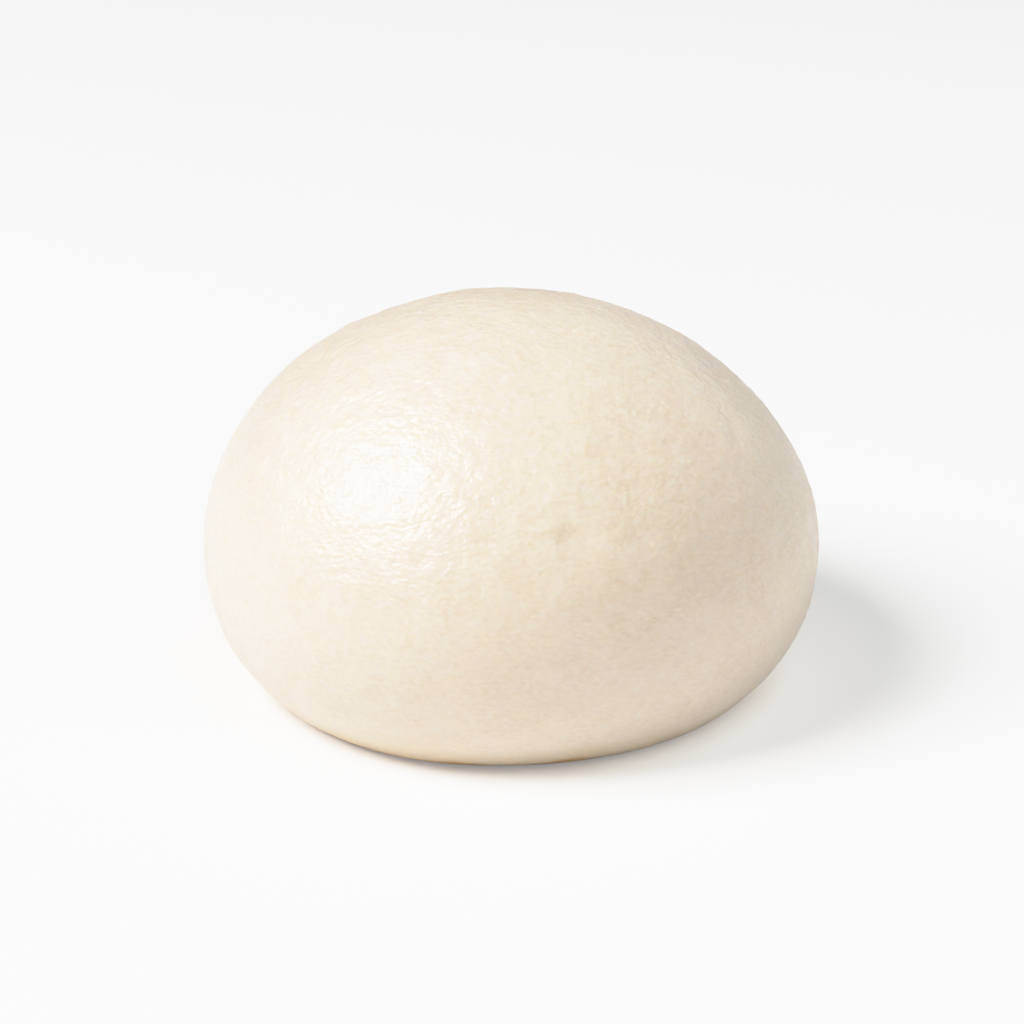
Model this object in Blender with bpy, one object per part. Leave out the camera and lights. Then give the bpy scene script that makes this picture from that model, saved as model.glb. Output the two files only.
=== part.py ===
"""A plain steamed bun: one ball of dough, risen and steamed into a smooth dome on a flat foot.

Run it with  blender --background --python part.py , or from Blender's text editor.
Metres, +Z up. The flat foot lies on z = 0 with the bun's bounding box centred over the origin,
and -Y is the front. A sphere primitive is the starting ball: each of its rings is laid on the
bun's outline, and then broad swellings and hollows make the dough as uneven as hand-rolled dough.
"""

import math
from typing import NamedTuple

import bmesh
import bpy
from mathutils import Vector

# The outline, from the top down.
BELLY_RADIUS = 0.0475  # the widest level, seen from above
BELLY_HEIGHT = 0.0203  # the widest level's height over the table
DOME_RISE = 0.0380  # from the belly to the crown
DOME_FULLNESS = 1.92  # exponent of the dome's curve; 2 is an ellipse, less is more pointed
UNDERCUT_DEPTH = 0.0310  # how far below the belly the lower curve would close without a table
UNDERCUT_FULLNESS = 2.22  # exponent of the lower curve
FOOT_EDGE_RADIUS = 0.0060  # the soft round between the side and the flat foot

# How finely the ball is divided.
SEGMENTS = 72  # round the bun
DOME_STEPS = 25  # crown to belly
SIDE_STEPS = 10  # belly to the foot's edge
EDGE_STEPS = 6  # round the foot's edge
FOOT_STEPS = 7  # edge to the middle of the foot
RINGS = DOME_STEPS + SIDE_STEPS + EDGE_STEPS + FOOT_STEPS

# The steamed skin: warm ivory with a satin sheen.
SKIN_COLOUR = (0.86, 0.77, 0.62, 1.0)
SKIN_ROUGHNESS = 0.42
SKIN_METALLIC = 0.0


class Lump(NamedTuple):
    """A broad swelling, or a hollow if its swell is negative, which fades out over its spread."""

    azimuth: float  # degrees round +Z; 0 is the right side and -90 the front
    height: float  # as a share of the bun's height
    spread: float
    swell: float


LUMPS = (
    Lump(azimuth=20, height=0.72, spread=0.017, swell=0.00012),  # right shoulder
    Lump(azimuth=150, height=0.72, spread=0.018, swell=0.00049),  # left shoulder
    Lump(azimuth=180, height=0.30, spread=0.016, swell=-0.00048),  # left belly
    Lump(azimuth=-5, height=0.34, spread=0.016, swell=0.00038),  # right belly
    Lump(azimuth=-115, height=0.06, spread=0.012, swell=0.00052),  # front of the foot
    Lump(azimuth=75, height=1.00, spread=0.012, swell=0.00021),  # crown
    Lump(azimuth=65, height=0.35, spread=0.015, swell=-0.00040),  # back, right of the middle
    Lump(azimuth=118, height=0.28, spread=0.016, swell=0.00045),  # back, left of the middle
)


def clear_scene():
    for obj in list(bpy.data.objects):
        bpy.data.objects.remove(obj)


def dome_point(share):
    """(radius, height) on the dome; share runs from 0 at the crown to 1 at the belly."""
    angle = math.pi / 2 * (1 - share)
    # The crown's cosine is a rounding error away from 0, and may fall just below it.
    reach = max(math.cos(angle), 0.0) ** (2 / DOME_FULLNESS)
    lift = max(math.sin(angle), 0.0) ** (2 / DOME_FULLNESS)
    return BELLY_RADIUS * reach, BELLY_HEIGHT + DOME_RISE * lift


def side_point(depth):
    """(radius, height) on the lower curve, at this depth below the belly."""
    inward = (depth / UNDERCUT_DEPTH) ** UNDERCUT_FULLNESS
    return BELLY_RADIUS * (1 - inward) ** (1 / UNDERCUT_FULLNESS), BELLY_HEIGHT - depth


def side_tilt(depth):
    """How far the lower curve's outward normal points down there, as an angle."""
    share = depth / UNDERCUT_DEPTH
    remaining = 1 - share**UNDERCUT_FULLNESS
    slope = BELLY_RADIUS / UNDERCUT_DEPTH * share ** (UNDERCUT_FULLNESS - 1)
    return math.atan(slope * remaining ** (1 / UNDERCUT_FULLNESS - 1))


def edge_start_depth():
    """The depth where the foot's round edge takes over from the lower curve.

    There a circle of the edge's radius touches both the curve and the table, so its centre is
    one radius up. The centre sinks steadily with depth, which makes halving the gap enough.
    """
    shallow, deep = 0.0, BELLY_HEIGHT
    for _ in range(50):
        depth = (shallow + deep) / 2
        centre_height = side_point(depth)[1] + FOOT_EDGE_RADIUS * math.sin(side_tilt(depth))
        if centre_height > FOOT_EDGE_RADIUS:
            shallow = depth
        else:
            deep = depth
    return depth


def bun_outline():
    """(radius, height) of each ring, from the crown down the side and in to the foot's middle."""
    points = [dome_point(step / DOME_STEPS) for step in range(DOME_STEPS)]

    last_depth = edge_start_depth()
    points += [side_point(last_depth * step / SIDE_STEPS) for step in range(SIDE_STEPS)]

    side_radius, _ = side_point(last_depth)
    first_tilt = side_tilt(last_depth)
    centre_radius = side_radius - FOOT_EDGE_RADIUS * math.cos(first_tilt)
    for step in range(EDGE_STEPS):
        tilt = first_tilt + (math.pi / 2 - first_tilt) * step / EDGE_STEPS
        points.append(
            (
                centre_radius + FOOT_EDGE_RADIUS * math.cos(tilt),
                FOOT_EDGE_RADIUS * (1 - math.sin(tilt)),
            )
        )

    points += [(centre_radius * (1 - step / FOOT_STEPS), 0.0) for step in range(FOOT_STEPS + 1)]
    return points


def outline_radius_at(height, outline):
    """The bun's radius at this height, above its foot's edge."""
    for (upper_radius, upper), (lower_radius, lower) in zip(outline, outline[1:]):
        if lower <= height <= upper and upper > lower:
            share = (height - lower) / (upper - lower)
            return lower_radius + (upper_radius - lower_radius) * share
    return 0.0


def lump_centre(lump, outline):
    height = lump.height * (BELLY_HEIGHT + DOME_RISE)
    radius = outline_radius_at(height, outline)
    angle = math.radians(lump.azimuth)
    return Vector((radius * math.cos(angle), radius * math.sin(angle), height))


def uneven(point, centres):
    """The point moved away from the bun's heart by the lumps near it. The foot stays flat."""
    heart = Vector((0.0, 0.0, BELLY_HEIGHT))
    swell = sum(
        lump.swell * math.exp(-((point - centre).length_squared) / (2 * lump.spread**2))
        for lump, centre in zip(LUMPS, centres)
    )
    moved = point + (point - heart).normalized() * swell
    moved.z = 0.0 if point.z == 0.0 else max(moved.z, 0.0)
    return moved


def lay_rings_on_outline(ball):
    """Moves the rings of a ball of radius 1, crown first, to the bun's outline."""
    outline = bun_outline()
    centres = [lump_centre(lump, outline) for lump in LUMPS]
    for vertex in ball.verts:
        from_crown = math.acos(max(-1.0, min(1.0, vertex.co.z)))
        radius, height = outline[round(from_crown / math.pi * RINGS)]
        angle = math.atan2(vertex.co.y, vertex.co.x)
        point = Vector((radius * math.cos(angle), radius * math.sin(angle), height))
        vertex.co = uneven(point, centres)


def centre_over_origin(ball):
    """Slides the bun on the table until its bounding box is centred over the origin."""
    xs = [vertex.co.x for vertex in ball.verts]
    ys = [vertex.co.y for vertex in ball.verts]
    middle = Vector(((min(xs) + max(xs)) / 2, (min(ys) + max(ys)) / 2, 0.0))
    bmesh.ops.translate(ball, verts=ball.verts, vec=-middle)


def skin_material():
    material = bpy.data.materials.new("bun_skin")
    material.use_nodes = True
    shader = material.node_tree.nodes["Principled BSDF"]
    shader.inputs["Base Color"].default_value = SKIN_COLOUR
    shader.inputs["Roughness"].default_value = SKIN_ROUGHNESS
    shader.inputs["Metallic"].default_value = SKIN_METALLIC
    return material


def make_bun(collection):
    ball = bmesh.new()
    bmesh.ops.create_uvsphere(ball, u_segments=SEGMENTS, v_segments=RINGS, radius=1.0)
    lay_rings_on_outline(ball)
    centre_over_origin(ball)

    mesh = bpy.data.meshes.new("bun")
    ball.to_mesh(mesh)
    ball.free()
    mesh.shade_smooth()
    mesh.materials.append(skin_material())

    bun = bpy.data.objects.new("bun", mesh)
    collection.objects.link(bun)
    return bun


def main():
    clear_scene()
    collection = bpy.data.collections.new("steamed_bun")
    bpy.context.scene.collection.children.link(collection)
    make_bun(collection)


main()
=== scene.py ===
# %% [markdown]
# # A plain steamed bun
#
# A steamed bun is a ball of wheat dough, left to rise and then cooked in steam. Steam is too wet
# and too cool to brown it, so it has no crust: the skin stays ivory and satin, and a little light
# passes through it. As it cools it shrinks a little, which leaves a fine crinkle all over. This
# lesson takes the plain solid bun of the frame, lays a fine skin over it, gives that a dough
# finish, and sets it on a white table under soft studio light.

# %% The frame
import math
from typing import NamedTuple

import bpy
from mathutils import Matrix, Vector


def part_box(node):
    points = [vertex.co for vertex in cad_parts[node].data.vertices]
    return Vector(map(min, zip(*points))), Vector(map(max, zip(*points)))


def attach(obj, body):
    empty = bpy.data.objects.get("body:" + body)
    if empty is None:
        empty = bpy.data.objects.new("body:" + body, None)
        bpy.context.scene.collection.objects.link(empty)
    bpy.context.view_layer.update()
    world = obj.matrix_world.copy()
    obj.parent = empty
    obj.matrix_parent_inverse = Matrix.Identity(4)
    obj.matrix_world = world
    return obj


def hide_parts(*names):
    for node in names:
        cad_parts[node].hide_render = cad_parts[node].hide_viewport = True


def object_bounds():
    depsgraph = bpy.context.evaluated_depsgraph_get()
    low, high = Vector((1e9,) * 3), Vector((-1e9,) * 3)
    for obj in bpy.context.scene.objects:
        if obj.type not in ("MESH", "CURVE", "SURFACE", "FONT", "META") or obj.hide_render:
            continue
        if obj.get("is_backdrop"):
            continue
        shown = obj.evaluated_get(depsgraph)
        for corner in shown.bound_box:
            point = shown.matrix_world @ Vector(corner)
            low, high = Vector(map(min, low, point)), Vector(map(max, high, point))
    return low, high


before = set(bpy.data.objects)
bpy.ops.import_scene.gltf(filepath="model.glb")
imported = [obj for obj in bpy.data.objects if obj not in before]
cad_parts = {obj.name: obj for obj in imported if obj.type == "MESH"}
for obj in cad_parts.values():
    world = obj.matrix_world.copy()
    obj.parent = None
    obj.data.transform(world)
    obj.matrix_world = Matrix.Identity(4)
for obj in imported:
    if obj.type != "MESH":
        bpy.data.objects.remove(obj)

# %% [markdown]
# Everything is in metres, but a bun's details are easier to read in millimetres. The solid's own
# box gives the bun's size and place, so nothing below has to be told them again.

MM = 0.001

cad_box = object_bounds()
low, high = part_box("bun")
heart = (low + high) / 2
width = high.x - low.x
height = high.z - low.z
print(f"the solid bun is {width / MM:.1f} mm wide and {height / MM:.1f} mm high")

# %% [markdown]
# Blender's operators act on whatever is selected, and the frame arrives selected. So every step
# first selects its own piece and nothing else.

# %% Selecting one piece, and applying a modifier to it


def only_active(piece):
    """Deselects everything, then selects this piece and makes it the active one."""
    bpy.ops.object.select_all(action="DESELECT")
    piece.select_set(True)
    bpy.context.view_layer.objects.active = piece


def applied(piece, kind, **settings):
    """Gives the piece a modifier with these settings and applies it at once."""
    only_active(piece)
    modifier = piece.modifiers.new(kind.lower(), kind)
    for name, value in settings.items():
        setattr(modifier, name, value)
    bpy.ops.object.modifier_apply(modifier=modifier.name)


# %% [markdown]
# ## The form under the skin
#
# The solid is made of flat facets 4 mm wide, which a satin skin would show as flat glints. A copy
# of it becomes the form: its loose triangles are merged and joined to quads, and Subdivision
# Surface rounds them. The form is only a guide, and is deleted once the skin lies on it.

# %% A smooth form, from a copy of the solid
form = bpy.data.objects.new("form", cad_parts["bun"].data.copy())
bpy.context.scene.collection.objects.link(form)
only_active(form)
bpy.ops.object.mode_set(mode="EDIT")
bpy.ops.mesh.select_all(action="SELECT")
bpy.ops.mesh.remove_doubles(threshold=0.001 * MM)
bpy.ops.mesh.tris_convert_to_quads(face_threshold=math.radians(40), shape_threshold=math.radians(60))
bpy.ops.object.mode_set(mode="OBJECT")
applied(form, "SUBSURF", levels=2, render_levels=2)
print(f"the form has {len(form.data.polygons)} faces")

# %% [markdown]
# ## The ball of dough
#
# A globe made of rings has two poles, where its faces crowd together and fine relief pinches. A
# cube that Subdivision Surface and Cast round into a ball has none, and its faces are nearly the
# same size all over. The ball starts larger than the bun, so that Shrinkwrap can draw all of it
# inwards until it lies on the form.

# %% A ball without poles
BALL_SIZE = 1.3 * width

bpy.ops.object.select_all(action="DESELECT")
bpy.ops.mesh.primitive_cube_add(size=BALL_SIZE, location=heart)
bun = bpy.context.active_object
bun.name = "bun_body"
applied(bun, "SUBSURF", levels=5, render_levels=5)
applied(bun, "CAST", cast_type="SPHERE", factor=1.0)
bpy.ops.object.transform_apply(location=True, rotation=True, scale=True)
print(f"the ball has {len(bun.data.polygons)} faces")

# %% [markdown]
# The first Shrinkwrap sends each point straight in along its normal, towards the bun's heart.
# Smooth then evens out the spacing and another Shrinkwrap puts the points back on the form, three
# times over. Two subdivisions make the faces about half a millimetre wide, fine enough for the
# crinkle and still under the limit of 200,000 triangles.

# %% The ball laid on the form
SMOOTHING_ROUNDS = 3

applied(
    bun,
    "SHRINKWRAP",
    target=form,
    wrap_method="PROJECT",
    use_negative_direction=True,
    use_positive_direction=False,
)
for _ in range(SMOOTHING_ROUNDS):
    applied(bun, "SMOOTH", factor=0.5, iterations=20)
    applied(bun, "SHRINKWRAP", target=form, wrap_method="NEAREST_SURFACEPOINT")
applied(bun, "SUBSURF", levels=1, render_levels=1)
applied(bun, "SHRINKWRAP", target=form, wrap_method="NEAREST_SURFACEPOINT")
applied(bun, "SUBSURF", levels=1, render_levels=1)
bpy.data.objects.remove(form)
print(f"the skin has {2 * len(bun.data.polygons)} triangles")

# %% [markdown]
# ## The crinkled skin
#
# Dough swells as it steams and shrinks as it cools, and the thin skin is left a little too large
# for it. So it crinkles, in shallow folds a millimetre or two wide, over broad soft swells left by
# the hands that rolled the ball. Relief in the mesh catches the light from every side and shows in
# the outline, which painted relief can't, so Displace moves the skin itself.
#
# The foot stays flat, because it is pressed on the steamer's paper, and the moist skin just above
# it is smoother. A vertex group holds how much of the relief each point gets.

# %% How much relief each point of the skin gets
FOOT_BAND = 3 * MM
DAMP_BAND = 20 * MM
DAMP_SHARE = 0.55


def relief_share(level):
    """The share of the full relief at this height above the table."""
    off_the_foot = min(max(level / FOOT_BAND, 0.0), 1.0)
    above_the_damp = min(max((level - FOOT_BAND) / DAMP_BAND, 0.0), 1.0)
    return off_the_foot * (DAMP_SHARE + (1 - DAMP_SHARE) * above_the_damp)


share_group = bun.vertex_groups.new(name="relief")
for point in bun.data.vertices:
    share_group.add([point.index], relief_share(point.co.z), "REPLACE")
print(f"{len(bun.data.vertices)} points have their share of the relief")

# %% [markdown]
# Displace reads a cloud texture. Its noise has no direction and never repeats over the bun. Soft
# noise makes round swells, and hard noise makes valleys with sharp floors, like the lines of a
# crinkle. Each octave of a cloud is half as wide as the last and half as deep, so wide and narrow
# folds are equally steep, as they are on a real skin.

# %% Swells, folds and crinkles


def clouds(name, size, octaves, kind="SOFT_NOISE"):
    """A cloud texture whose widest spots are this size."""
    texture = bpy.data.textures.new(name, "CLOUDS")
    texture.noise_type = kind
    texture.noise_basis = "IMPROVED_PERLIN"
    texture.noise_scale = size
    texture.noise_depth = octaves - 1
    return texture


def displaced(piece, texture, depth):
    """Moves the skin in and out along its normals by this depth, as far as its share allows."""
    applied(
        piece,
        "DISPLACE",
        texture=texture,
        texture_coords="LOCAL",
        direction="NORMAL",
        vertex_group="relief",
        mid_level=0.5,
        strength=depth,
    )


displaced(bun, clouds("swells", size=14 * MM, octaves=1), depth=0.45 * MM)
displaced(bun, clouds("folds", size=4 * MM, octaves=1), depth=0.30 * MM)
displaced(bun, clouds("crinkles", size=2.3 * MM, octaves=2, kind="HARD_NOISE"), depth=0.30 * MM)
reaches = [(point.co - heart).length for point in bun.data.vertices]
print(f"the skin lies {min(reaches) / MM:.1f} to {max(reaches) / MM:.1f} mm from the bun's heart")

# %% [markdown]
# ### Marks
#
# A few marks are larger than the crinkle: soft hollows where a bubble sank or a fingertip touched
# the risen dough, and short folds that the shrinking skin has pushed up. Each is made as by hand,
# with proportional editing: the points along a short line move in or out, and their neighbours
# follow less and less, out to the mark's reach.

# %% Hollows and folds
LINE_STEPS = 6


class Mark(NamedTuple):
    """A mark from one place on the skin to another, as (azimuth, rise) seen from the heart."""

    start: tuple
    end: tuple
    reach: float
    depth: float  # inward; a fold that stands up has a negative depth


MARKS = (
    Mark(start=(11.6, 10.6), end=(12.8, 11.2), reach=3.2 * MM, depth=0.38 * MM),  # front, a hollow
    Mark(start=(8.8, 10.6), end=(11.7, 13.7), reach=1.4 * MM, depth=0.15 * MM),  # the crease beside it
    Mark(start=(5.4, 16.8), end=(8.4, 19.4), reach=1.1 * MM, depth=-0.16 * MM),  # the fold above it
    Mark(start=(-32.0, 1.5), end=(-24.0, 1.0), reach=1.0 * MM, depth=-0.10 * MM),  # front left
    Mark(start=(62, 20), end=(68, 24), reach=2.8 * MM, depth=0.18 * MM),  # right
    Mark(start=(128, 6), end=(131, 12), reach=2.2 * MM, depth=0.18 * MM),  # back right
    Mark(start=(171, 33), end=(180, 31), reach=1.4 * MM, depth=-0.12 * MM),  # back
    Mark(start=(-146, 12), end=(-143, 10), reach=3.0 * MM, depth=0.20 * MM),  # back left
    Mark(start=(-96, 24), end=(-90, 30), reach=1.2 * MM, depth=-0.10 * MM),  # left
)


def towards(azimuth, rise):
    """The direction at this azimuth, 0 at the front and 90 at the right, and this far above level."""
    turn = math.radians(azimuth)
    lift = math.radians(rise)
    return Vector((math.sin(turn) * math.cos(lift), -math.cos(turn) * math.cos(lift), math.sin(lift)))


def pressed(piece, mark):
    """Moves the skin along the mark's line in or out, with its neighbours."""
    only_active(piece)
    bpy.ops.object.mode_set(mode="EDIT")
    bpy.ops.mesh.select_mode(type="VERT")
    bpy.ops.mesh.select_all(action="DESELECT")
    bpy.ops.object.mode_set(mode="OBJECT")
    start = towards(*mark.start)
    end = towards(*mark.end)
    for step in range(LINE_STEPS + 1):
        _, _, _, face = piece.ray_cast(heart, start.lerp(end, step / LINE_STEPS))
        piece.data.vertices[piece.data.polygons[face].vertices[0]].select = True
    bpy.ops.object.mode_set(mode="EDIT")
    bpy.ops.transform.translate(
        value=-mark.depth * start.lerp(end, 0.5).normalized(),
        use_proportional_edit=True,
        proportional_edit_falloff="SMOOTH",
        proportional_size=mark.reach,
    )
    bpy.ops.object.mode_set(mode="OBJECT")


for mark in MARKS:
    pressed(bun, mark)
print(f"{len(MARKS)} marks are on the skin")

# %% [markdown]
# ## The finish
#
# Steamed dough is ivory. Light goes a few millimetres into it and comes back a little warmer, and
# its moist skin has a satin sheen. The Principled shader has an input for each of these. Patterns
# read the Object coordinates, which are metres from the origin, so a spot's size can be given in
# millimetres and a pattern never stretches or slides.

# %% Helpers for the dough's nodes
skin = bpy.data.materials.new("bun_skin")
skin.use_nodes = True
tree = skin.node_tree
shader = tree.nodes["Principled BSDF"]
place = tree.nodes.new("ShaderNodeTexCoord")


def stretched(label, value, old_low, old_high, new_low=0.0, new_high=1.0):
    """The value moved from its old range to a new one, softly, and held inside that."""
    spread = tree.nodes.new("ShaderNodeMapRange")
    spread.label = label
    spread.interpolation_type = "SMOOTHSTEP"
    spread.inputs["From Min"].default_value = old_low
    spread.inputs["From Max"].default_value = old_high
    spread.inputs["To Min"].default_value = new_low
    spread.inputs["To Max"].default_value = new_high
    tree.links.new(value, spread.inputs["Value"])
    return spread.outputs["Result"]


def spots(label, size, octaves, contrast=1.0, squeeze=1.0):
    """A noise from 0 to 1 whose widest spots are this size, with its contrast raised.

    A squeeze of 2 makes its spots half as high as they are wide.
    """
    squeezed = tree.nodes.new("ShaderNodeMapping")
    squeezed.label = label + " squeeze"
    squeezed.inputs["Scale"].default_value = (1.0, 1.0, squeeze)
    tree.links.new(place.outputs["Object"], squeezed.inputs["Vector"])
    noise = tree.nodes.new("ShaderNodeTexNoise")
    noise.label = label
    noise.inputs["Scale"].default_value = 1 / size
    noise.inputs["Detail"].default_value = octaves - 1
    noise.inputs["Roughness"].default_value = 0.5
    tree.links.new(squeezed.outputs["Vector"], noise.inputs["Vector"])
    return stretched(label + " range", noise.outputs["Fac"], 0.5 - 0.5 / contrast, 0.5 + 0.5 / contrast)


def combined(label, operation, first, second):
    """The two values added or multiplied."""
    maths = tree.nodes.new("ShaderNodeMath")
    maths.label = label
    maths.operation = operation
    tree.links.new(first, maths.inputs[0])
    tree.links.new(second, maths.inputs[1])
    return maths.outputs["Value"]


def tinted(label, share, under, over):
    """A colour that goes from under to over as the share goes from 0 to 1."""
    mix = tree.nodes.new("ShaderNodeMix")
    mix.label = label
    mix.data_type = "RGBA"
    tree.links.new(share, mix.inputs["Factor"])
    for socket, colour in (("A", under), ("B", over)):
        colour_input = next(s for s in mix.inputs if s.name == socket and s.type == "RGBA")
        if isinstance(colour, tuple):
            colour_input.default_value = (*colour, 1.0)
        else:
            tree.links.new(colour, colour_input)
    return next(s for s in mix.outputs if s.type == "RGBA")


# %% [markdown]
# ### Colour
#
# The colour is nearly even. Flour, water and yeast never mix perfectly, so there are paler and
# warmer patches about a centimetre wide, and a finer mottle in them where the skin is thicker or
# thinner. Tiny air bubbles close under the skin are paler flecks, about a millimetre wide. Mottle
# and flecks are wider than they are high, because the rising dough stretches most round its belly.
# All three are noises that mix ivories. A single ivory would look like plastic, and ivories
# further apart would look like mould.

# %% Patches, mottle and flecks
IVORY = (0.906, 0.778, 0.643)
WARM_IVORY = (0.876, 0.742, 0.599)
DEEP_IVORY = (0.850, 0.709, 0.557)
PALE_IVORY = (0.930, 0.817, 0.690)
MOTTLE_DEPTH = 0.7
FLECK_DEPTH = 0.75

patch_share = spots("patches", size=9 * MM, octaves=3, contrast=1.8)
patches = tinted("patches", patch_share, WARM_IVORY, IVORY)
mottle_share = spots("mottle", size=4 * MM, octaves=3, contrast=2.2, squeeze=1.7)
mottle_depth = stretched("mottle depth", mottle_share, 0, 1, 0, MOTTLE_DEPTH)
mottled = tinted("mottle", mottle_depth, patches, DEEP_IVORY)
fleck_share = spots("flecks", size=1.0 * MM, octaves=3, contrast=1.6, squeeze=1.9)
fleck_depth = stretched("fleck depth", fleck_share, 0, 1, 0, FLECK_DEPTH)
flecked = tinted("flecks", fleck_depth, mottled, PALE_IVORY)
print(f"patches, mottle and flecks take {len(tree.nodes)} nodes")

# %% [markdown]
# ### The foot's painted shade
#
# The foot's tan and brown are painted shade, not the colour of the dough. The bun is tan for a few
# millimetres where its foot curves in towards the table, and nearly brown in a thin line where it
# meets the table, as a contact shadow would make it. The line isn't level, so the height that it's
# worked out from is made uneven first. The flat underside gets the tan with only a little brown.

# %% The foot's painted shade and its painted contact shadow
# Painted shade: a tan and a brown that darken the foot towards the table, in place of the shade and
# contact shadow there.
PAINTED_SHADE_TAN = (0.866, 0.718, 0.530)
PAINTED_CONTACT_SHADOW_BROWN = (0.770, 0.510, 0.245)
CONTACT_SHADOW_WANDER = 1.8 * MM
PAINTED_SHADE_FADES = (2.5 * MM, 7.5 * MM)  # the heights between which the tan fades out
CONTACT_SHADOW_FADES = (1.6 * MM, 3.2 * MM)
CONTACT_SHADOW_STARTS = (0.05 * MM, 0.45 * MM)
CONTACT_SHADOW_UNDERNEATH = 0.35

height_over_table = tree.nodes.new("ShaderNodeSeparateXYZ")
tree.links.new(place.outputs["Object"], height_over_table.inputs["Vector"])
level = height_over_table.outputs["Z"]
wander = stretched("shadow line wander", spots("rim", size=12 * MM, octaves=3, contrast=2.0), 0, 1, 0, CONTACT_SHADOW_WANDER)
uneven_level = combined("uneven level", "ADD", level, wander)
painted_shade_share = stretched("painted foot shade", uneven_level, *PAINTED_SHADE_FADES, 1, 0)
contact_shadow_share = stretched("painted contact shadow", uneven_level, *CONTACT_SHADOW_FADES, 1, 0)
shadow_off_the_base = stretched("shadow off the base", level, *CONTACT_SHADOW_STARTS, CONTACT_SHADOW_UNDERNEATH, 1)
# The painted shade goes over the skin's colour: tan on the foot, and brown in the line along the table.
with_painted_shade = tinted("foot", painted_shade_share, flecked, PAINTED_SHADE_TAN)
with_painted_contact_shadow = tinted("rim", combined("rim", "MULTIPLY", contact_shadow_share, shadow_off_the_base), with_painted_shade, PAINTED_CONTACT_SHADOW_BROWN)
tree.links.new(with_painted_contact_shadow, shader.inputs["Base Color"])
print(f"with the foot there are {len(tree.nodes)} nodes")

# %% [markdown]
# ### Sheen
#
# The moist skin shines softly, and a little less where it has dried in patches. A thin, rougher
# coat is the film of moisture on it, and widens the shine. Light that goes into the dough spreads
# up to three millimetres, red the furthest, which softens the crinkles and warms the shadows.

# %% Sheen and depth
DAMP_ROUGHNESS = 0.30
DRY_ROUGHNESS = 0.38
LIGHT_DEPTH = 3.0 * MM

dryness = spots("damp and dry", size=4 * MM, octaves=2, contrast=2.0)
sheen = stretched("sheen", dryness, 0, 1, DAMP_ROUGHNESS, DRY_ROUGHNESS)
tree.links.new(sheen, shader.inputs["Roughness"])
shader.inputs["Specular IOR Level"].default_value = 0.65
shader.inputs["Coat Weight"].default_value = 0.25
shader.inputs["Coat Roughness"].default_value = 0.45
shader.inputs["Subsurface Weight"].default_value = 1.0
shader.inputs["Subsurface Radius"].default_value = (1.0, 0.85, 0.6)
shader.inputs["Subsurface Scale"].default_value = LIGHT_DEPTH
print(f"light spreads {LIGHT_DEPTH / MM:.1f} mm in the dough")

# %% [markdown]
# ### The finest crinkle
#
# The folds in the skin go on down to a fraction of a millimetre, finer than the mesh's faces. A
# Bump node adds those, a little wider than they are high, and they fade towards the foot like the
# larger ones. They are kept low, because too much of them makes the skin look like orange peel.

# %% The finest crinkle
FINEST_DEPTH = 0.17 * MM
FINEST_SHARE = 0.5  # how much of it is left at the foot

fine_share = stretched("near the foot", level, FOOT_BAND, FOOT_BAND + DAMP_BAND, FINEST_SHARE, 1)
fine_crinkle = spots("fine crinkle", size=1.0 * MM, octaves=2, squeeze=1.5)
fine_height = combined("fine crinkle", "MULTIPLY", fine_crinkle, fine_share)
bump = tree.nodes.new("ShaderNodeBump")
bump.inputs["Strength"].default_value = 1.0
bump.inputs["Distance"].default_value = FINEST_DEPTH
tree.links.new(fine_height, bump.inputs["Height"])
tree.links.new(bump.outputs["Normal"], shader.inputs["Normal"])
print(f"the dough's material has {len(tree.nodes)} nodes")

# %% [markdown]
# ### The finished bun
#
# The dough's finish goes on the skin, which is shaded smooth. The bun has no joints, so it rides
# on the frame's only body, root. It stands in for the solid bun, which stays in the frame for
# collisions and isn't seen.

# %% The finish on the bun
bun.data.materials.clear()
bun.data.materials.append(skin)
only_active(bun)
bpy.ops.object.shade_smooth()

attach(bun, "root")
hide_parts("bun")
print(f"{bun.name} stands in for the solid bun")

# %% [markdown]
# ## The table
#
# The bun stands on a plain white table, so wide that its edge is out of sight. Matt white paint
# gives back about nine tenths of the light, which still looks grey beside a bun lit from all
# round. So Emission lifts the table towards white, but only for the camera: Is Camera Ray is 0 for
# every other ray, and the table lights the bun no more than paint would.

# %% The table
FLOOR_SIZE = 4.0
FLOOR_WHITE = 0.9
FLOOR_LIFT = 0.25

bpy.ops.object.select_all(action="DESELECT")
bpy.ops.mesh.primitive_plane_add(size=FLOOR_SIZE, location=(0, 0, 0))
floor = bpy.context.active_object
floor.name = "table"
floor_material = bpy.data.materials.new("table_white")
floor_material.use_nodes = True
floor_shader = floor_material.node_tree.nodes["Principled BSDF"]
floor_shader.inputs["Base Color"].default_value = (FLOOR_WHITE, FLOOR_WHITE, FLOOR_WHITE, 1.0)
floor_shader.inputs["Roughness"].default_value = 0.8
floor_shader.inputs["Emission Color"].default_value = (FLOOR_LIFT, FLOOR_LIFT, FLOOR_LIFT, 1.0)
floor_rays = floor_material.node_tree.nodes.new("ShaderNodeLightPath")
floor_material.node_tree.links.new(
    floor_rays.outputs["Is Camera Ray"], floor_shader.inputs["Emission Strength"]
)
floor.data.materials.append(floor_material)
floor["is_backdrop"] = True
print(f"the table is {FLOOR_SIZE:.0f} m wide")

# %% [markdown]
# ## The camera
#
# The camera looks down at 22 degrees, as someone seated at the table does, and sees the dome, the
# belly and the front of the foot at once. A long lens nearly half a metre away keeps the bun's
# proportions. It aims a little above the belly, the bun's widest level, which puts the whole bun
# in the middle of the picture.

# %% The camera
ELEVATION = math.radians(22)
DISTANCE = 440 * MM
LENS = 100  # in millimetres, as on a real camera
SENSOR_WIDTH = 36
BELLY_SHARE = 0.347  # the belly's height as a share of the bun's

right = Vector((1, 0, 0))
up = Vector((0, math.sin(ELEVATION), math.cos(ELEVATION)))
back = right.cross(up)
belly = Vector((heart.x, heart.y, low.z + BELLY_SHARE * height))
aim = belly + 0.1 * MM * right + 4.06 * MM * up

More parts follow.
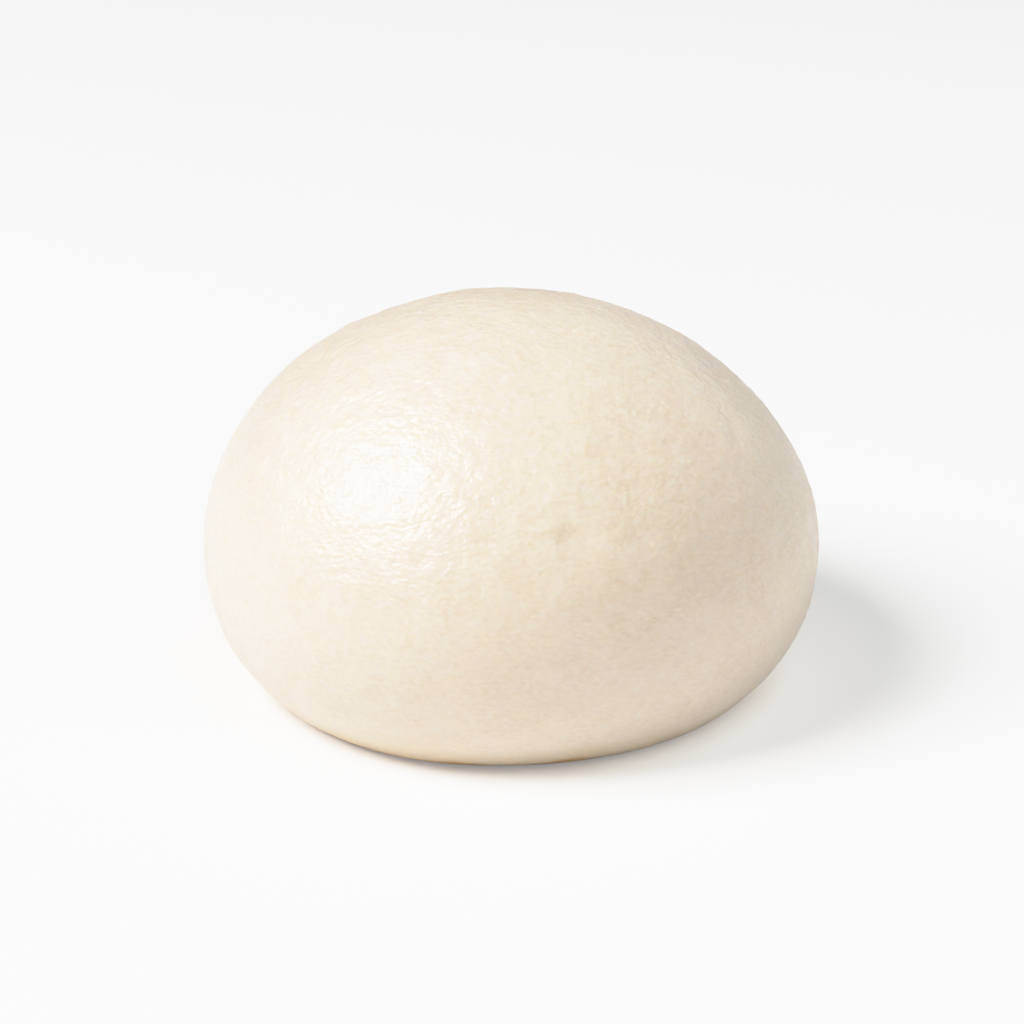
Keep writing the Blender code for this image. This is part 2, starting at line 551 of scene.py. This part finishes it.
camera_data = bpy.data.cameras.new("camera")
camera_data.lens = LENS
camera_data.sensor_width = SENSOR_WIDTH
camera = bpy.data.objects.new("camera", camera_data)
bpy.context.scene.collection.objects.link(camera)
camera.location = aim + back * DISTANCE
camera.rotation_euler = (-back).to_track_quat("-Z", "Y").to_euler()
bpy.context.scene.camera = camera
print(f"the camera aims {aim.z / MM:.1f} mm above the table, from {DISTANCE / MM:.0f} mm away")

# %% [markdown]
# ## The light
#
# Softboxes light the bun as in a plain studio. The key stands high on the left, and is smaller
# than the others, so that it leaves one soft highlight on the dome. A weaker one fills from the
# right, so the dome is a little darker there, and a faint one fills from the front. Lamps are
# never quite the same white: the key is a shade rosy, and the fill on the right a shade green. A
# gloss ray doesn't see the two fills, because their edges would glint in every crinkle and make
# the skin look embossed. The two behind the bun, on the right, do shine: they draw a thin bright
# edge down its right side.

# %% The softboxes
LIGHT_DISTANCE = 1.5


def softbox(name, azimuth, rise, size, watts, colour=(1.0, 1.0, 1.0), in_gloss=True):
    """A square area light that faces the bun, from this azimuth and this far above level."""
    lamp_data = bpy.data.lights.new(name, "AREA")
    lamp_data.shape = "SQUARE"
    lamp_data.size = size
    lamp_data.energy = watts
    lamp_data.color = colour
    lamp = bpy.data.objects.new(name, lamp_data)
    bpy.context.scene.collection.objects.link(lamp)
    lamp.visible_glossy = in_gloss
    lamp.location = heart + towards(azimuth, rise) * LIGHT_DISTANCE
    lamp.rotation_euler = (-towards(azimuth, rise)).to_track_quat("-Z", "Y").to_euler()


softbox("key", azimuth=-75, rise=48, size=0.8, watts=28.2, colour=(1.0, 0.965, 0.975))
softbox("front", azimuth=0, rise=33, size=1.3, watts=1.8, in_gloss=False)
softbox("right", azimuth=60, rise=52, size=1.3, watts=11.0, colour=(0.965, 1.0, 0.985), in_gloss=False)
softbox("right_rim", azimuth=120, rise=15, size=1.3, watts=2.9)
softbox("back_right", azimuth=150, rise=15, size=1.3, watts=2.2)
print(f"the softboxes stand {LIGHT_DISTANCE:.1f} m from the bun's heart")

# %% [markdown]
# ### The backdrop
#
# Beyond the table everything is white, like a paper backdrop. A world that lit the bun from all
# round would wash out its shading, so here too only the camera sees it.

# %% The backdrop
studio = bpy.data.worlds.new("studio")
studio.use_nodes = True
backdrop = studio.node_tree.nodes["Background"]
backdrop.inputs["Color"].default_value = (1.0, 1.0, 1.0, 1.0)
studio_rays = studio.node_tree.nodes.new("ShaderNodeLightPath")
studio.node_tree.links.new(studio_rays.outputs["Is Camera Ray"], backdrop.inputs["Strength"])
bpy.context.scene.world = studio
print("only the camera sees the backdrop")

# %% [markdown]
# ## The film
#
# The Standard view keeps the ivory's own colour, which a filmic view would turn grey, but it cuts
# bright light off hard at white. So a curve gives it a shoulder like a film's: below the shoulder
# light is shown as it is, and above it each further bit of light adds less, so the highlight fades
# into the skin round it.

# %% The film's shoulder
SHOULDER = 0.68
BRIGHTEST = 3.0
STEPS = 24


def shown(light):
    """How bright the picture shows this much light."""
    if light < SHOULDER:
        return light
    room = 1 - SHOULDER
    return SHOULDER + room * (1 - math.exp(-(light - SHOULDER) / room))


view = bpy.context.scene.view_settings
view.view_transform = "Standard"
view.use_curve_mapping = True
mapping = view.curve_mapping
mapping.white_level = (BRIGHTEST, BRIGHTEST, BRIGHTEST)
curve = mapping.curves[3]
for step in range(1, STEPS):
    share = step / STEPS
    curve.points.new(share, shown(share * BRIGHTEST))
curve.points[-1].location = (1.0, shown(BRIGHTEST))
mapping.update()
print(f"the film's curve has {len(curve.points)} points and shows 1.0 as {shown(1.0):.2f}")

# %% [markdown]
# ## The end
#
# The skin must fit in the solid's box, because the solid is what other things touch.

visual_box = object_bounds()
for name, (box_low, box_high) in (("solid", cad_box), ("visible", visual_box)):
    sides = [f"{side / MM:.2f}" for side in box_high - box_low]
    print(f"the {name} bun is {' x '.join(sides)} mm")
